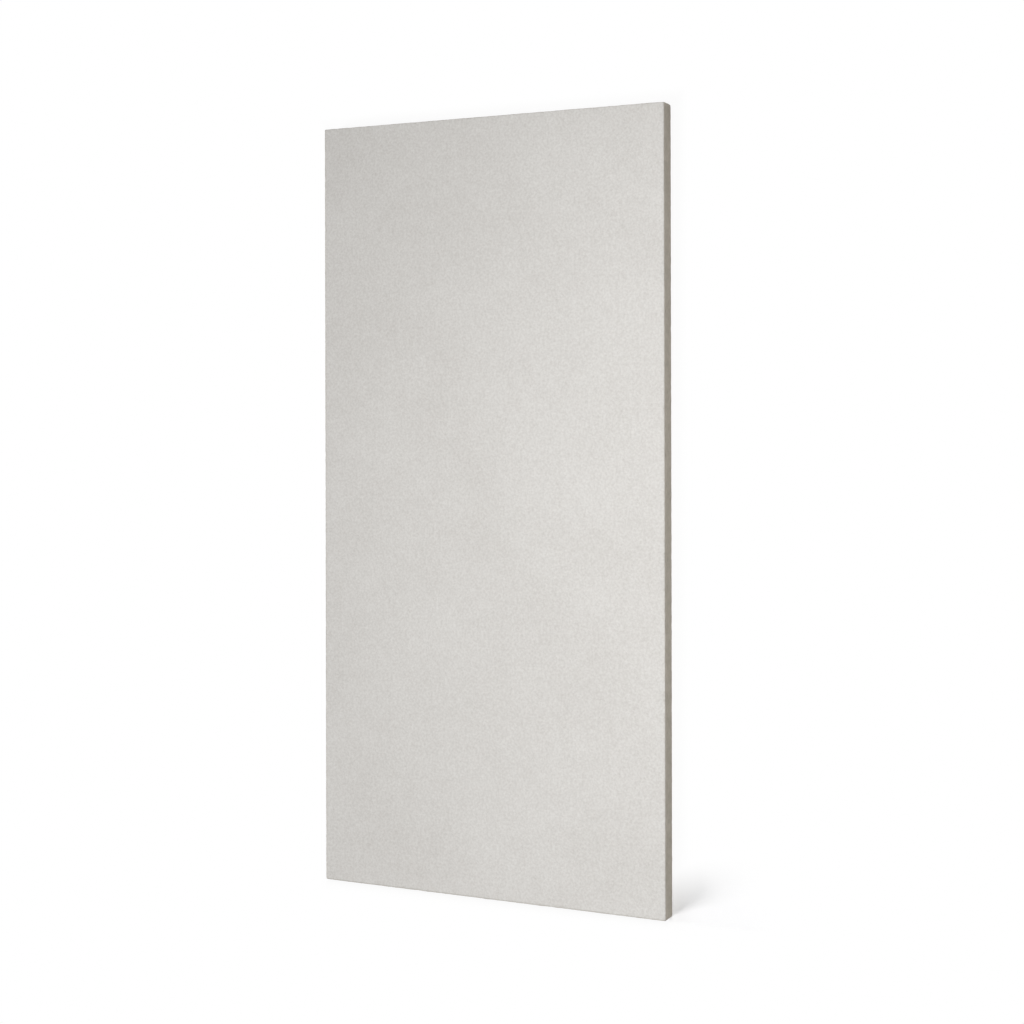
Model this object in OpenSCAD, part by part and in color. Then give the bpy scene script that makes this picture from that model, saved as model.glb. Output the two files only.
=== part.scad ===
// Expansion joint filler board.
// One flat rectangular board of pressed fibre, trimmed square on all four sides
// and solid all through. It lies on one broad face, with its length along X, its
// width along Y and its thickness along Z. The origin is the centre of the
// underside.

/* [Board] */
// Length of the board, along X
board_length = 1250; // [300:10:2500]
// Width of the board, along Y
board_width = 600; // [100:10:1250]
// Thickness of the board, along Z, which is the width of the joint it fills
board_thickness = 30; // [10:1:60]

/* [Edges] */
// Radius of the arrises round both broad faces, left by handling and stacking
arris_radius = 1.0; // [0.3:0.1:4]
// Radius of the four upright corners, left by the trimming saw
corner_radius = 1.5; // [0.3:0.1:4]

/* [Hidden] */
// Points round a full circle of an arris or a corner
$fn = 48;
// How far each section runs past the board before the sections are intersected
overrun = 10;

// A rectangle centred on the origin with its four corners rounded
module rounded_rectangle(size_x, size_y, radius) {
    square([size_x - 2 * radius, size_y], center = true);
    square([size_x, size_y - 2 * radius], center = true);
    for (side_x = [-1, 1], side_y = [-1, 1])
        translate([side_x * (size_x / 2 - radius), side_y * (size_y / 2 - radius)])
            circle(r = radius);
}

// The board seen from above, as a prism taller than the board
module plan_prism() {
    linear_extrude(height = board_thickness + overrun, center = true)
        rounded_rectangle(board_length, board_width, corner_radius);
}

// The board seen along its length, as a prism longer than the board
module cross_section_prism() {
    rotate([90, 0, 90])
        linear_extrude(height = board_length + overrun, center = true)
            rounded_rectangle(board_width, board_thickness, arris_radius);
}

// The board seen along its width, as a prism wider than the board
module long_section_prism() {
    rotate([90, 0, 0])
        linear_extrude(height = board_width + overrun, center = true)
            rounded_rectangle(board_length, board_thickness, arris_radius);
}

// The whole board: what its plan and its two sections have in common
module filler_board() {
    color([0.84, 0.83, 0.81])
        translate([0, 0, board_thickness / 2])
            intersection() {
                plan_prism();
                cross_section_prism();
                long_section_prism();
            }
}

filler_board();
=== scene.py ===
"""Expansion joint filler board: one flat board of pressed fibre, lying on a pale studio floor.

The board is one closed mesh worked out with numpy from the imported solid's box: a section of the board's rim
carried round its outline, with a lattice filling each broad face. The waves of its faces, the fuzz and nicks
of its arrises and the layers and pits of its cut edges are heights added along the outward direction. Its
finish is a solid texture of fibres that lie in the plane of the board, so that the faces show flecks and the
cut edges show layers."""
import math

import bpy
import numpy as np
from mathutils import Matrix, Vector


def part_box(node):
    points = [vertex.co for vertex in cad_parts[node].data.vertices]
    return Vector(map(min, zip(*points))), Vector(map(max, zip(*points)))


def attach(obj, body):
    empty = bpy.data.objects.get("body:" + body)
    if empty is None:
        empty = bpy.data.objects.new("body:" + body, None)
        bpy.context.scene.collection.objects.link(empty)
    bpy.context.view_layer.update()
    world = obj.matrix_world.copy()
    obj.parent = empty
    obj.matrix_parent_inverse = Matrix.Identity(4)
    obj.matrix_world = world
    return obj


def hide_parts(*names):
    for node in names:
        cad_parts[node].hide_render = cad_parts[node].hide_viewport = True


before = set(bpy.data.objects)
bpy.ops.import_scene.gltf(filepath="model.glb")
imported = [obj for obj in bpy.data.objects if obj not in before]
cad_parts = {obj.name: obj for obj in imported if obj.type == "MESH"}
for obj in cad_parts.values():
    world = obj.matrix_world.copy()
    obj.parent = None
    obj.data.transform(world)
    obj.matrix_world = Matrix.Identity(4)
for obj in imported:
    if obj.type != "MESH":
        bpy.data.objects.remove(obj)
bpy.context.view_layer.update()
NODE = "filler_board"
MM = 0.001

# ------------------------------------------------------------------ sizes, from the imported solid
LOW, HIGH = (np.array(corner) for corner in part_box(NODE))
HALF_PLAN = (HIGH - LOW)[:2] / 2
MIDDLE = (HIGH + LOW)[:2] / 2
THICKNESS = (HIGH - LOW)[2]
ARRIS_RADIUS = 1.0 * MM
CORNER_RADIUS = 1.5 * MM

# Columns along each side, multiples of 4, and rows round the rim
LONG_SEGMENTS = 624
SHORT_SEGMENTS = 300
ARRIS_STEPS = 5
SIDE_STEPS = 15
# How far in from the edge the rings on each face lie: full rings, one with half of the columns, and the
# lattice's own border, with a quarter of them
BORDER_INSETS = np.array([4.8, 2.6]) * MM
STITCH_INSET = 9 * MM
LATTICE_INSET = 16 * MM


# ------------------------------------------------------------------ random heights
def waves(points, shortest, longest, count, seed):
    """A smooth random height for each point, with a mean of 0 and a spread of 1.

    It is a sum of plane waves cos(k . p + phase) with random directions and phases, and with lengths from
    shortest to longest, over the root of half their number."""
    rng = np.random.default_rng(seed)
    direction = rng.normal(size=(count, 3))
    direction /= np.linalg.norm(direction, axis=1, keepdims=True)
    length = shortest * (longest / shortest) ** rng.random(count)
    phase = rng.uniform(0, 2 * math.pi, count)
    angle = points @ (direction * (2 * math.pi / length)[:, None]).T + phase
    return np.cos(angle).sum(axis=1) / math.sqrt(count / 2)


def dents(rng, points, centres, radii, depths):
    """How deep each point lies in a scatter of round dents, in millimetres.

    A dent is depth * exp(-(distance / radius)^2) deep, and the deepest one counts. Its radius and depth are
    random, between the least and the greatest of radii and of depths, in millimetres."""
    radius_of_each = rng.uniform(*radii, len(centres)) * MM
    depth_of_each = rng.uniform(*depths, len(centres))
    deepest = np.zeros(len(points))
    for centre, radius, depth in zip(centres, radius_of_each, depth_of_each):
        near = np.abs(points - centre).max(axis=1) < 3 * radius
        square = ((points[near] - centre) ** 2).sum(axis=1)
        deepest[near] = np.maximum(deepest[near], depth * np.exp(-square / radius ** 2))
    return deepest


# ------------------------------------------------------------------ the nominal surface
def stations(length, segments):
    """Where one side's columns lie, as shares from -1 to 1 of half its length.

    Counted from a corner, column j lies at step * j - gather * (1 - exp(-j / reach)), so that the columns
    are even along the side and close together at its corners, where they follow the rounding."""
    gather, reach = 4.2 * MM, 2.5
    j = np.arange(segments // 2 + 1)
    step = (length / 2 + gather) / (segments // 2)
    from_corner = step * j - gather * (1 - np.exp(-j / reach))
    share = from_corner / from_corner[-1]
    return np.concatenate([share - 1, (1 - share)[-2::-1]])


def outline(along_x, along_y):
    """The board's rectangle as shares of its half sizes, anticlockwise from its lowest corner."""
    near = np.stack([along_x[:-1], np.full(len(along_x) - 1, -1.0)], axis=1)
    head = np.stack([np.ones(len(along_y) - 1), along_y[:-1]], axis=1)
    return np.concatenate([near, head, -near, -head])


def rounded(shares, insets):
    """The outline moved inwards by each inset, as rings of points, and the outward direction at each.

    A point of the sharp rectangle is pulled back to the smaller rectangle on which the corner circles are
    centred, and pushed out again by their radius, which shrinks with the inset."""
    half = (HALF_PLAN - insets[:, None])[:, None]
    radius = np.maximum(CORNER_RADIUS - insets, 0)[:, None, None]
    sharp = shares * half
    core = np.clip(sharp, radius - half, half - radius)
    reach = np.linalg.norm(sharp - core, axis=2, keepdims=True)
    outward = (sharp - core) / np.where(reach > 0, reach, 1)
    return core + outward * radius + MIDDLE, outward


def rim_section():
    """The section of the rim, from the upper face over the side to the underside.

    Each row has an inset, a height and a tilt, the angle of its outward direction above the horizontal. A
    quarter circle turns the upper face into the side, and another turns the side into the underside."""
    quarter = math.pi / 2
    turn = np.linspace(0, quarter, ARRIS_STEPS + 1)
    arris_inset = ARRIS_RADIUS * (1 - np.sin(turn))
    arris_drop = ARRIS_RADIUS * (1 - np.cos(turn))
    border = np.ones(len(BORDER_INSETS))
    side = np.linspace(THICKNESS - ARRIS_RADIUS, ARRIS_RADIUS, SIDE_STEPS + 1)[1:-1]
    level = np.zeros(len(side))
    inset = np.concatenate([BORDER_INSETS, arris_inset, level, arris_inset[::-1], BORDER_INSETS[::-1]])
    height = np.concatenate([THICKNESS * border, THICKNESS - arris_drop, side, arris_drop[::-1], 0 * border])
    to_side, from_side = quarter - turn, turn[::-1] - quarter
    tilt = np.concatenate([quarter * border, to_side, level, from_side, -quarter * border])
    return inset, height, tilt


# ------------------------------------------------------------------ faces between rows of points
def band(upper, lower):
    """Quads between two closed rows of as many points each."""
    return np.stack([lower, np.roll(lower, -1), np.roll(upper, -1), upper], axis=1)


def halving_band(fine, coarse):
    """Triangles between a closed row and an inner one with half of its points, three to each inner step."""
    first, between, last = fine[::2], fine[1::2], np.roll(fine[::2], -1)
    here, there = coarse, np.roll(coarse, -1)
    corners = ((first, between, here), (between, there, here), (between, last, there))
    return np.concatenate([np.stack(three, axis=1) for three in corners])


def lattice_faces(index):
    """Quads of a lattice of point numbers, index[i, j]."""
    quads = np.stack([index[:-1, :-1], index[1:, :-1], index[1:, 1:], index[:-1, 1:]], axis=-1)
    return quads.reshape(-1, 4)


def lattice_border(index):
    """The lattice's outer points, anticlockwise from its lowest corner, in the outline's order."""
    return np.concatenate([index[:-1, 0], index[-1, :-1], index[:0:-1, -1], index[0, :0:-1]])


# ------------------------------------------------------------------ relief
# The spread of each kind of height, in millimetres
LONG_WAVES = 0.10
PRESS_TEXTURE = 0.025
FIBRE_LAYERS = 0.09
SAW_MARKS = 0.035
ARRIS_FUZZ = 0.07
# How many pits the sides have, and how many nicks the arrises
PIT_COUNT = 260
NICK_COUNT = 70
# How strongly the foot, near, head and far edges are darkened, partly as wear and partly as painted shade
# on the arrises, most at the foot and far edges and none at the head end, how far in that reaches, its shares
# on the arris and on the face, and the depth in millimetres of a wholly worn dent
EDGE_WEAR_AND_SHADE = (1.9, 0.8, 0.0, 1.9)
WEAR_AND_SHADE_REACH = 1.5 * MM
ARRIS_WEAR_AND_SHADE = 0.8
FACE_WEAR_AND_SHADE = 0.5
WORN_DEPTH = 0.4


def relief(place, outward):
    """How far the real surface stands out from the nominal one at each point, and how much wear and painted
    shade darken it there.

    Faces: long shallow waves left by pressing and drying, and a fine press texture. Sides: layers of fibre,
    drawn out four times along the board, saw marks across them and small pits. Arrises: fuzz and nicks. Each
    kind counts by how flat, upright or slanting the surface is, and the deepest dent is taken off.

    That second value is the larger of the dent's depth over WORN_DEPTH, which is wear, and the darkening of
    the edges, which is partly wear and partly painted shade on the arrises. That is each edge's own strength
    times exp(-(inset / reach)^2), the largest of the four, times the larger of the arris share by how
    slanting the surface is and the face share by how flat it is."""
    rng = np.random.default_rng(7)
    flat = np.abs(outward[:, 2])
    upright = 1 - flat
    slanting = 2 * flat * np.sqrt(1 - flat ** 2)
    plan = place * [1, 1, 0]
    long_waves = waves(plan, shortest=0.18, longest=0.7, count=14, seed=1)
    press_texture = waves(plan, shortest=0.018, longest=0.05, count=60, seed=2)
    layers = waves(place * [0.25, 0.25, 1], shortest=0.0030, longest=0.0080, count=90, seed=3)
    saw_marks = waves(plan, shortest=0.0045, longest=0.0085, count=60, seed=4)
    fuzz = waves(place, shortest=0.0045, longest=0.014, count=90, seed=5) - 1
    on_faces = LONG_WAVES * long_waves + PRESS_TEXTURE * press_texture
    on_sides = FIBRE_LAYERS * layers + SAW_MARKS * saw_marks
    height = on_faces * flat ** 4 + on_sides * upright + ARRIS_FUZZ * fuzz * slanting

    pits = place[rng.choice(np.flatnonzero(upright > 0.5), PIT_COUNT)]
    pit_depth = dents(rng, place, pits, radii=(1.2, 3.0), depths=(0.12, 0.40))
    nicks = place[rng.choice(np.flatnonzero(slanting > 0.9), NICK_COUNT)]
    nick_depth = dents(rng, place, nicks, radii=(1.2, 2.6), depths=(0.10, 0.35))
    corners = np.array([[x, y, z] for x in (LOW[0], HIGH[0]) for y in (LOW[1], HIGH[1])
                        for z in (LOW[2], HIGH[2])])
    blunting = dents(rng, place, corners, radii=(2.0, 3.5), depths=(0.15, 0.4))
    deepest = np.maximum.reduce([pit_depth, nick_depth, blunting])

    # Insets from the foot, near, head and far edges
    insets = np.concatenate([place[:, :2] - LOW[:2], HIGH[:2] - place[:, :2]], axis=1)
    # Darkening along the edges: partly wear, partly painted shade on the arrises
    along_edge = (np.exp(-(insets / WEAR_AND_SHADE_REACH) ** 2) * EDGE_WEAR_AND_SHADE).max(axis=1)
    edge_wear_and_shade = along_edge * np.maximum(ARRIS_WEAR_AND_SHADE * slanting, FACE_WEAR_AND_SHADE * flat)
    return (height - deepest) * MM, np.clip(np.maximum(deepest / WORN_DEPTH, edge_wear_and_shade), 0, 1)


# ------------------------------------------------------------------ the board
def flat_pattern(place, outward, faces):
    """Where each face's corners lie on a square sheet on which the board's six sides are laid out flat.

    A face goes with the side that its mean outward direction points to most, where the two broad faces count
    for 0.8, so that each arris is shared out. A corner's place there is how far the point lies along that
    side's own right and up directions, plus the middle of the side's place on the sheet, over the sheet's
    width. From the foot of the sheet up lie the upper face, the underside, the near side, the far side, and
    the head and foot ends next to each other."""
    width = 2 * HALF_PLAN[1]
    gap = 8 * MM
    # In the order of the upper face, the underside, the near side, the head end, the far side, the foot end
    sides = np.array([(0, 0, 1), (0, 0, -1), (0, -1, 0), (1, 0, 0), (0, 1, 0), (-1, 0, 0)])
    rights = np.array([(1, 0, 0), (1, 0, 0), (1, 0, 0), (0, 1, 0), (-1, 0, 0), (0, -1, 0)])
    ups = np.array([(0, 1, 0), (0, -1, 0), (0, 0, 1), (0, 0, 1), (0, 0, 1), (0, 0, 1)])
    rows = np.cumsum([gap, width + gap, width + gap, THICKNESS + gap, THICKNESS + gap, THICKNESS + gap])
    sheet = rows[5]
    heights = [rows[0] + width / 2, rows[1] + width / 2, *(rows[[2, 4, 3, 4]] + THICKNESS / 2)]
    across = [sheet / 2, sheet / 2, sheet / 2, gap + width / 2, sheet / 2, 2 * gap + 1.5 * width]
    middles = np.column_stack([across, heights])

    facing = outward[faces].mean(axis=1) @ sides.T * [0.8, 0.8, 1, 1, 1, 1]
    side = facing.argmax(axis=1)
    from_centre = place[faces] - [*MIDDLE, LOW[2] + THICKNESS / 2]
    right = (from_centre * rights[side][:, None]).sum(axis=2)
    up = (from_centre * ups[side][:, None]).sum(axis=2)
    return ((np.stack([right, up], axis=2) + middles[side][:, None]) / sheet).reshape(-1, 2)


def board_mesh():
    """The nominal board: its points, their outward directions, its quads and its triangles.

    A point of the rim is the section's point for its row, carried to its column of the outline. Each broad
    face is filled by a lattice that is even but for its ends, and two bands, each of which halves the number
    of columns, join the rim to it."""
    along_x = stations(2 * HALF_PLAN[0], LONG_SEGMENTS)
    along_y = stations(2 * HALF_PLAN[1], SHORT_SEGMENTS)
    shares = outline(along_x, along_y)
    inset, height, tilt = rim_section()
    ring, ring_out = rounded(shares, inset)
    rows, columns = ring.shape[:2]

    ring_height = np.broadcast_to(height[:, None, None] + LOW[2], (rows, columns, 1))
    places = [np.concatenate([ring, ring_height], axis=2).reshape(-1, 3)]
    ring_rise = np.broadcast_to(np.sin(tilt)[:, None, None], (rows, columns, 1))
    outwards = [np.concatenate([np.cos(tilt)[:, None, None] * ring_out, ring_rise], axis=2).reshape(-1, 3)]
    grid = np.arange(rows * columns).reshape(rows, columns)
    quads = [band(grid[row], grid[row + 1]) for row in range(rows - 1)]
    triangles = []
    count = rows * columns

    for face_height, up, rim_row in ((HIGH[2], 1, grid[0]), (LOW[2], -1, grid[-1])):
        stitch = shares[::2] * (HALF_PLAN - STITCH_INSET) + MIDDLE
        lattice_x = along_x[::4] * (HALF_PLAN[0] - LATTICE_INSET) + MIDDLE[0]
        lattice_y = along_y[::4] * (HALF_PLAN[1] - LATTICE_INSET) + MIDDLE[1]
        lattice = np.stack(np.meshgrid(lattice_x, lattice_y, indexing="ij"), axis=-1)
        flat = np.concatenate([stitch, lattice.reshape(-1, 2)])
        places.append(np.column_stack([flat, np.full(len(flat), face_height)]))
        outwards.append(np.tile([0.0, 0.0, up], (len(flat), 1)))
        stitch_row = count + np.arange(len(stitch))
        index = count + len(stitch) + np.arange(lattice.shape[0] * lattice.shape[1])
        index = index.reshape(lattice.shape[:2])
        count += len(flat)
        fill = np.concatenate([halving_band(rim_row, stitch_row),
                               halving_band(stitch_row, lattice_border(index))])
        triangles.append(fill[:, ::up])
        quads.append(lattice_faces(index)[:, ::up])

    return np.concatenate(places), np.concatenate(outwards), np.concatenate(quads), np.concatenate(triangles)


def make_board():
    """The board's object: each nominal point is moved along its outward direction by the relief there.

    It carries two attributes for its finish: cut_edge, which is (1 - |rise of the outward direction|)^0.6, so
    0 on the faces and 1 on the sides, and one for its wear together with the painted shade along its arrises."""
    place, outward, quads, triangles = board_mesh()
    height, wear_and_edge_shade = relief(place, outward)
    surface = place + outward * height[:, None]
    surface[:, 2] = np.maximum(surface[:, 2], LOW[2])
    cut_edge = (1 - np.abs(outward[:, 2])) ** 0.6

    mesh = bpy.data.meshes.new("pressed_fibre_board")
    mesh.from_pydata(surface, [], quads.tolist() + triangles.tolist())
    mesh.polygons.foreach_set("use_smooth", np.ones(len(mesh.polygons), bool))
    for name, values in (("cut_edge", cut_edge), ("wear_and_edge_shade", wear_and_edge_shade)):
        mesh.attributes.new(name, "FLOAT", "POINT").data.foreach_set("value", values.astype(np.float32))
    pattern = np.concatenate([flat_pattern(place, outward, faces) for faces in (quads, triangles)])
    mesh.uv_layers.new(name="OFBake").uv.foreach_set("vector", pattern.astype(np.float32).ravel())
    mesh.update()
    board = bpy.data.objects.new("pressed_fibre_board", mesh)
    bpy.context.scene.collection.objects.link(board)
    return board


# ------------------------------------------------------------------ finishes
class Finish:
    """The nodes of a material or of the world, under construction."""

    def __init__(self, owner):
        owner.use_nodes = True
        self.tree = owner.node_tree
        self.tree.nodes.clear()

    def add(self, kind, inputs=None, **settings):
        """A new node with these settings. Each of its inputs is wired to a socket or set to a value."""
        node = self.tree.nodes.new(kind)
        for key, value in settings.items():
            setattr(node, key, value)
        for key, value in (inputs or {}).items():
            socket = node.inputs[key]
            if isinstance(value, bpy.types.NodeSocket):
                self.tree.links.new(value, socket)
            else:
                socket.default_value = value
        return node

    def math(self, operation, first, second):
        """The result of an operation on two values."""
        return self.add("ShaderNodeMath", {0: first, 1: second}, operation=operation).outputs[0]

    def plus(self, first, second, share):
        """The first value plus a share of the second."""
        return self.math("ADD", first, self.math("MULTIPLY", second, share))

    def noise(self, vector, scale, detail, roughness):
        """A smooth noise around 0.5, whose lumps are about 1 / scale across in the vector's own unit."""
        inputs = {"Vector": vector, "Scale": scale, "Detail": detail, "Roughness": roughness}
        return self.add("ShaderNodeTexNoise", inputs).outputs["Fac"]

    def ramp(self, value, low, high, to_low=0.0, to_high=1.0):
        """A smooth step from to_low to to_high, as the value goes from low to high."""
        inputs = {"Value": value, "From Min": low, "From Max": high, "To Min": to_low, "To Max": to_high}
        return self.add("ShaderNodeMapRange", inputs, interpolation_type="SMOOTHSTEP").outputs["Result"]

    def sway(self, tone, noise, reach, most):
        """The tone moved by up to most either way, as the noise goes from 0.5 - reach to 0.5 + reach."""
        return self.math("ADD", tone, self.ramp(noise, 0.5 - reach, 0.5 + reach, -most, most))

    def mix(self, factor, first, second):
        """The first colour where the factor is 0, and the second where it is 1."""
        return self.add("ShaderNodeMix", {0: factor, 6: first, 7: second}, data_type="RGBA").outputs[2]

    def to_eye(self):
        """1 for what the camera sees, directly, in a reflection or through glass, and 0 for lighting."""
        path = self.add("ShaderNodeLightPath")
        either = self.math("MAXIMUM", path.outputs["Is Camera Ray"], path.outputs["Is Glossy Ray"])
        return self.math("MAXIMUM", either, path.outputs["Is Transmission Ray"])


# Colours, in linear light
WHITE = (1, 1, 1, 1)
DARK_PULP = (0.565, 0.541, 0.511, 1)
PALE_PULP = (0.785, 0.773, 0.748, 1)
DARK_CUT = (0.380, 0.343, 0.285, 1)
PALE_CUT = (0.558, 0.513, 0.445, 1)
# The darker colour of wear, which also paints shade along the arrises
WORN_AND_SHADED = (0.36, 0.33, 0.28, 1)
PLAIN_FLOOR = (0.90, 0.90, 0.90, 1)
SHADED_FLOOR = (0.975, 0.975, 0.98, 1)

# How much of the darker colour shows where the wear and the painted edge shade are full
WORN_AND_SHADED_SHARE = 0.7
# The level of the noise at which a fibre begins, and the level at which it shows in full
FIBRE_BEGINS = 0.60
FIBRE_FULL = 0.74
# How many lumps of the layers on the cut edges there are to a metre along X, Y and Z
LAYER_SCALE = (90.0, 90.0, 620.0)


def strands(finish, place, length, width, turns):
    """Fibres that lie flat in the board, 1 on a fibre and 0 between them.

    For each turn, a noise is drawn out to length along a line at that angle in the plane of the board, and to
    width across it, and only its peaks are kept. The strongest of them shows."""
    strongest = None
    for number, turn in enumerate(turns):
        shift = 0.37 + 0.41 * number    # so that each turn reads its own part of the noise
        laid = finish.add("ShaderNodeMapping", {
            "Vector": place,
            "Location": (shift, -shift, shift),
            "Rotation": (0.0, 0.0, turn),
            "Scale": (length, width, width),
        }, vector_type="TEXTURE").outputs[0]
        noise = finish.noise(laid, scale=1.0, detail=1.0, roughness=0.4)
        peaks = finish.ramp(noise, FIBRE_BEGINS, FIBRE_FULL)
        strongest = peaks if strongest is None else finish.math("MAXIMUM", strongest, peaks)
    return strongest


def board_finish():
    """Pale grey pressed pulp, specked and clouded, with darker, warmer cut edges that show its layers."""
    material = bpy.data.materials.new("pressed_fibre")
    finish = Finish(material)
    place = finish.add("ShaderNodeTexCoord").outputs["Object"]
    cut = finish.add("ShaderNodeAttribute", attribute_name="cut_edge").outputs["Fac"]
    wear_and_edge_shade = finish.add("ShaderNodeAttribute", attribute_name="wear_and_edge_shade").outputs["Fac"]

    speckle = finish.noise(place, scale=260.0, detail=3.0, roughness=0.6)
    clouds = finish.noise(place, scale=55.0, detail=3.0, roughness=0.5)
    patches = finish.noise(place, scale=17.0, detail=2.0, roughness=0.5)
    drifts = finish.noise(place, scale=5.0, detail=2.0, roughness=0.5)
    layers_at = finish.add("ShaderNodeMapping", {"Vector": place, "Scale": LAYER_SCALE}).outputs[0]
    layers = finish.noise(layers_at, scale=1.0, detail=2.0, roughness=0.6)
    dark_fibres = strands(finish, place, length=9 * MM, width=0.9 * MM, turns=(0.2, 1.2, 2.3))
    pale_fibres = strands(finish, place, length=12 * MM, width=0.7 * MM, turns=(0.7, 1.8, 2.8))

    # How pale the pulp is, around 0.5: speckle, clouds, patches, drifts and fibres each move it a little
    tone = finish.ramp(speckle, 0.2, 0.8, to_low=0.25, to_high=0.75)
    tone = finish.sway(tone, clouds, reach=0.25, most=0.04)
    tone = finish.sway(tone, patches, reach=0.25, most=0.035)
    tone = finish.sway(tone, drifts, reach=0.2, most=0.04)
    tone = finish.plus(tone, dark_fibres, share=-0.19)
    tone = finish.plus(tone, pale_fibres, share=0.15)
    pressed = finish.mix(tone, DARK_PULP, PALE_PULP)

    # How pale a cut edge is: its layers count for most
    cut_tone = finish.ramp(layers, 0.25, 0.75, to_low=-0.1, to_high=0.45)
    cut_tone = finish.plus(cut_tone, tone, share=0.6)
    cut_tone = finish.sway(cut_tone, clouds, reach=0.2, most=0.12)
    sawn = finish.mix(cut_tone, DARK_CUT, PALE_CUT)
    colour = finish.mix(cut, pressed, sawn)
    # Wear darkens the dents and edges, and painted shade darkens the arrises, most at the foot and far edges
    colour = finish.mix(finish.math("MULTIPLY", wear_and_edge_shade, WORN_AND_SHADED_SHARE), colour, WORN_AND_SHADED)

    height = finish.math("MULTIPLY", speckle, 0.6)
    height = finish.plus(height, pale_fibres, share=0.35)
    height = finish.plus(height, finish.math("MULTIPLY", layers, cut), share=0.9)
    bump = finish.add("ShaderNodeBump", {"Strength": 0.6, "Distance": 0.15 * MM, "Height": height})
    shader = finish.add("ShaderNodeBsdfPrincipled", {
        "Base Color": colour,
        "Normal": bump.outputs[0],
        "Roughness": finish.ramp(speckle, 0.3, 0.7, to_low=0.90, to_high=0.97),
        "Specular IOR Level": 0.25,
    })
    finish.add("ShaderNodeOutputMaterial", {"Surface": shader.outputs[0]})
    return material


# ------------------------------------------------------------------ the floor
# How much of the shadow shows close round the board, and the distances between which that share fades out
FAINT_SHARE = 0.10
FAINT_FADE = (2 * MM, 30 * MM)
# Where the shadow shows in full. Along the board it fades in between two places counted from the foot end,
# and fades out from the foot end over a length towards the head. Across the board it fades out over a width
# inwards from the near edge, and between two distances outwards.
FOOT_FADE = (-12 * MM, -2 * MM)
HEAD_FADE = 84 * MM
NEAR_FADE = 8 * MM
FAR_FADE = (100 * MM, 200 * MM)
# How far the fading towards the head slants along the board for each 1 outwards
HEAD_SLANT = 0.22


def floor_finish():
    """A pale floor, which is white to the camera but for the object's shadow.

    The shadow shows in full at the foot of the near side, where the shadow lamp and the corner lamp throw it,
    and faintly close round the rest of the board. How far a place is from the board is the larger of |x| -
    half its length and |y| - half its width, where x and y are counted from its middle. Towards the head the
    shadow fades out along a line that slants away from the board."""
    material = bpy.data.materials.new("pale_floor")
    finish = Finish(material)
    foot, near = -HALF_PLAN
    place = finish.add("ShaderNodeSeparateXYZ", {0: finish.add("ShaderNodeNewGeometry").outputs["Position"]})
    x = finish.math("SUBTRACT", place.outputs["X"], MIDDLE[0])
    y = finish.math("SUBTRACT", place.outputs["Y"], MIDDLE[1])
    away_x = finish.math("SUBTRACT", finish.math("ABSOLUTE", x, 0.0), HALF_PLAN[0])
    away_y = finish.math("SUBTRACT", finish.math("ABSOLUTE", y, 0.0), HALF_PLAN[1])
    away = finish.math("MAXIMUM", away_x, away_y)
    faint = finish.ramp(away, *FAINT_FADE, to_low=FAINT_SHARE, to_high=0.0)

    from_foot = finish.ramp(x, foot + FOOT_FADE[0], foot + FOOT_FADE[1])
    slanted = finish.plus(x, away_y, share=-HEAD_SLANT)
    to_head = finish.ramp(slanted, foot, foot + HEAD_FADE, to_low=1.0, to_high=0.0)
    near_side = finish.ramp(y, near, near + NEAR_FADE, to_low=1.0, to_high=0.0)
    close = finish.ramp(away, *FAR_FADE, to_low=1.0, to_high=0.0)
    along = finish.math("MULTIPLY", from_foot, to_head)
    full = finish.math("MULTIPLY", along, finish.math("MULTIPLY", near_side, close))
    keep = finish.math("MAXIMUM", faint, full)

    plain = finish.add("ShaderNodeBsdfDiffuse", {"Color": PLAIN_FLOOR}).outputs[0]
    shaded = finish.add("ShaderNodeBsdfDiffuse", {"Color": SHADED_FLOOR}).outputs[0]
    white = finish.add("ShaderNodeEmission", {"Color": WHITE, "Strength": 1.0}).outputs[0]
    shown = finish.add("ShaderNodeMixShader", {0: keep, 1: white, 2: shaded}).outputs[0]
    shader = finish.add("ShaderNodeMixShader", {0: finish.to_eye(), 1: plain, 2: shown}).outputs[0]
    finish.add("ShaderNodeOutputMaterial", {"Surface": shader})
    return material


def make_floor():
    """One flat square, level with the board's underside."""
    half = 8.0
    corners = [(-half, -half, LOW[2]), (half, -half, LOW[2]), (half, half, LOW[2]), (-half, half, LOW[2])]
    mesh = bpy.data.meshes.new("studio_floor")
    mesh.from_pydata(corners, [], [(0, 1, 2, 3)])
    floor = bpy.data.objects.new("studio_floor", mesh)
    bpy.context.scene.collection.objects.link(floor)
    floor.data.materials.append(floor_finish())
    return floor


# ------------------------------------------------------------------ light and camera
def in_studio(x, y, z):
    """A place in the studio, counted from the middle of the board's underside."""
    return Vector((MIDDLE[0] + x, MIDDLE[1] + y, LOW[2] + z))


def make_world(strength):
    """An even grey sky for lighting, which is white to the camera and in reflections."""
    world = bpy.data.worlds.new("studio_air")
    bpy.context.scene.world = world
    finish = Finish(world)
    light = finish.add("ShaderNodeBackground", {"Color": WHITE, "Strength": strength}).outputs[0]
    white = finish.add("ShaderNodeBackground", {"Color": WHITE, "Strength": 1.0}).outputs[0]
    sky = finish.add("ShaderNodeMixShader", {0: finish.to_eye(), 1: light, 2: white}).outputs[0]
    finish.add("ShaderNodeOutputWorld", {"Surface": sky})


def make_softbox(name, place, aim, size, power):
    """A soft lamp that stands at place and faces aim. The camera doesn't see it."""
    lamp = bpy.data.lights.new(name, "AREA")
    lamp.shape = "RECTANGLE"
    lamp.size, lamp.size_y = size
    lamp.energy = power
    light = bpy.data.objects.new(name, lamp)
    light.location = place
    light.rotation_euler = (aim - place).to_track_quat("-Z", "Y").to_euler()
    light.visible_camera = False
    bpy.context.scene.collection.objects.link(light)


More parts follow.
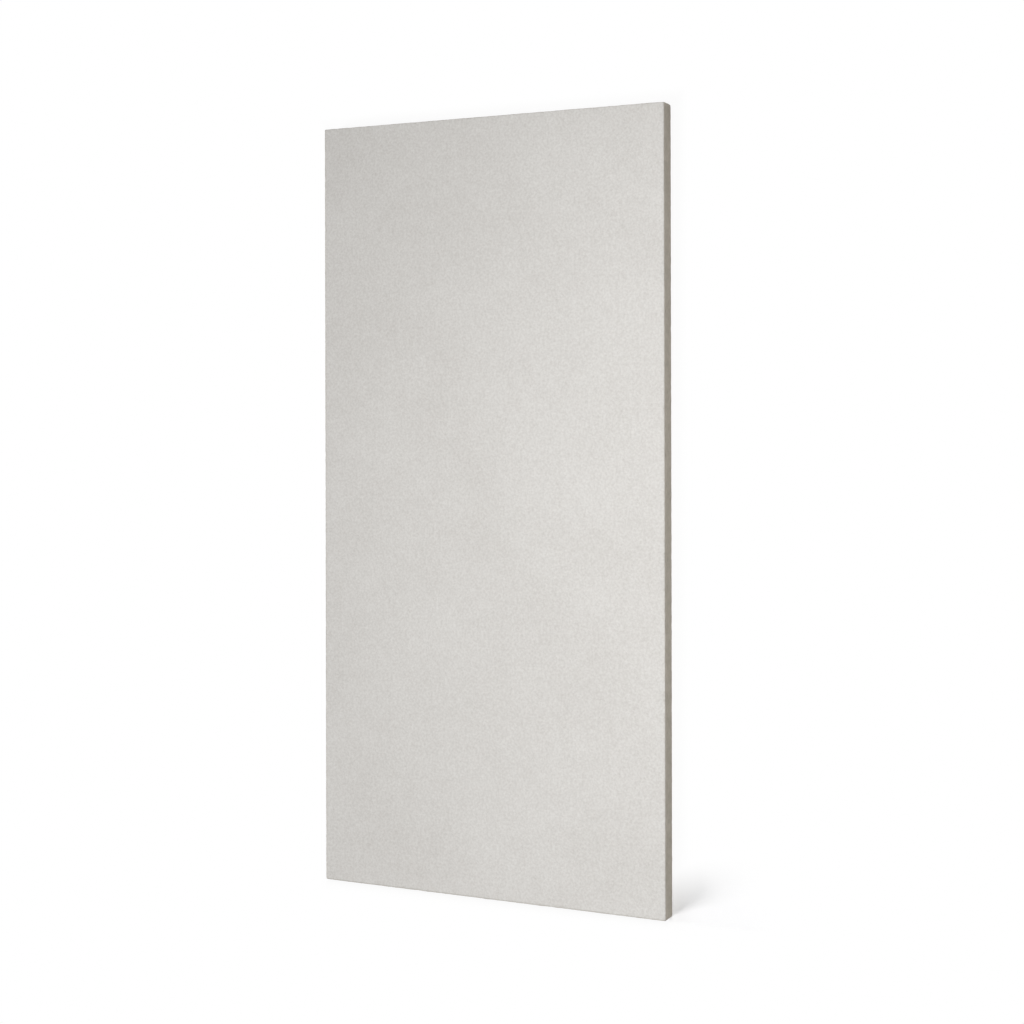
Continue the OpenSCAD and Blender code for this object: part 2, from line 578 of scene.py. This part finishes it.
def make_far_lamp(name, towards, elevation, width, strength):
    """A lamp far away, whose even beam travels along towards and comes down at the angle elevation.

    The lamp looks as wide as the angle width. Both angles are in degrees."""
    lamp = bpy.data.lights.new(name, "SUN")
    lamp.angle = math.radians(width)
    lamp.energy = strength
    light = bpy.data.objects.new(name, lamp)
    beam = Vector(towards).normalized() - Vector((0, 0, math.tan(math.radians(elevation))))
    light.rotation_euler = beam.to_track_quat("-Z", "Y").to_euler()
    light.location = in_studio(*-beam)
    bpy.context.scene.collection.objects.link(light)


def make_camera(place, tilt, roll, lens, shift):
    """Looks down on the board from beyond its near long edge, with the head end uppermost.

    Its line of sight is tilted from straight down towards the far long edge. The angles are in degrees, the
    lens is in millimetres for a picture 36 mm wide, and shift is a share of that width."""
    tilt, roll = math.radians(tilt), math.radians(roll)
    forward = Vector((0, math.sin(tilt), -math.cos(tilt)))
    up = Vector((1, 0, 0))
    right = forward.cross(up)
    right, up = right * math.cos(roll) + up * math.sin(roll), up * math.cos(roll) - right * math.sin(roll)
    data = bpy.data.cameras.new("camera")
    data.lens = lens
    data.sensor_width = 36.0
    data.shift_y = shift
    camera = bpy.data.objects.new("camera", data)
    camera.matrix_world = Matrix.Translation(place) @ Matrix((right, up, -forward)).transposed().to_4x4()
    bpy.context.scene.collection.objects.link(camera)
    bpy.context.scene.camera = camera


# ------------------------------------------------------------------ put together
board = make_board()
board.data.materials.append(board_finish())
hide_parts(NODE)
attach(board, "root")

make_floor()
make_world(strength=0.056)
make_softbox("overhead_softbox", place=in_studio(0.39, -0.66, 1.90), aim=in_studio(-1.54, -1.35, 0),
             size=(0.9, 0.7), power=30.5)
make_far_lamp("shadow_lamp", towards=(0.50, -0.866, 0), elevation=17.0, width=26.0, strength=3.22)
make_far_lamp("fill_lamp", towards=(-0.80, 0.60, 0), elevation=13.8, width=60.0, strength=0.989)
make_far_lamp("corner_lamp", towards=(-0.766, -0.643, 0), elevation=38.0, width=30.0, strength=0.383)
make_camera(place=in_studio(0.1393, -1.2098, 2.5510), tilt=24.83, roll=-0.115, lens=61.57, shift=-0.0894)
bpy.context.scene.view_settings.view_transform = "Standard"
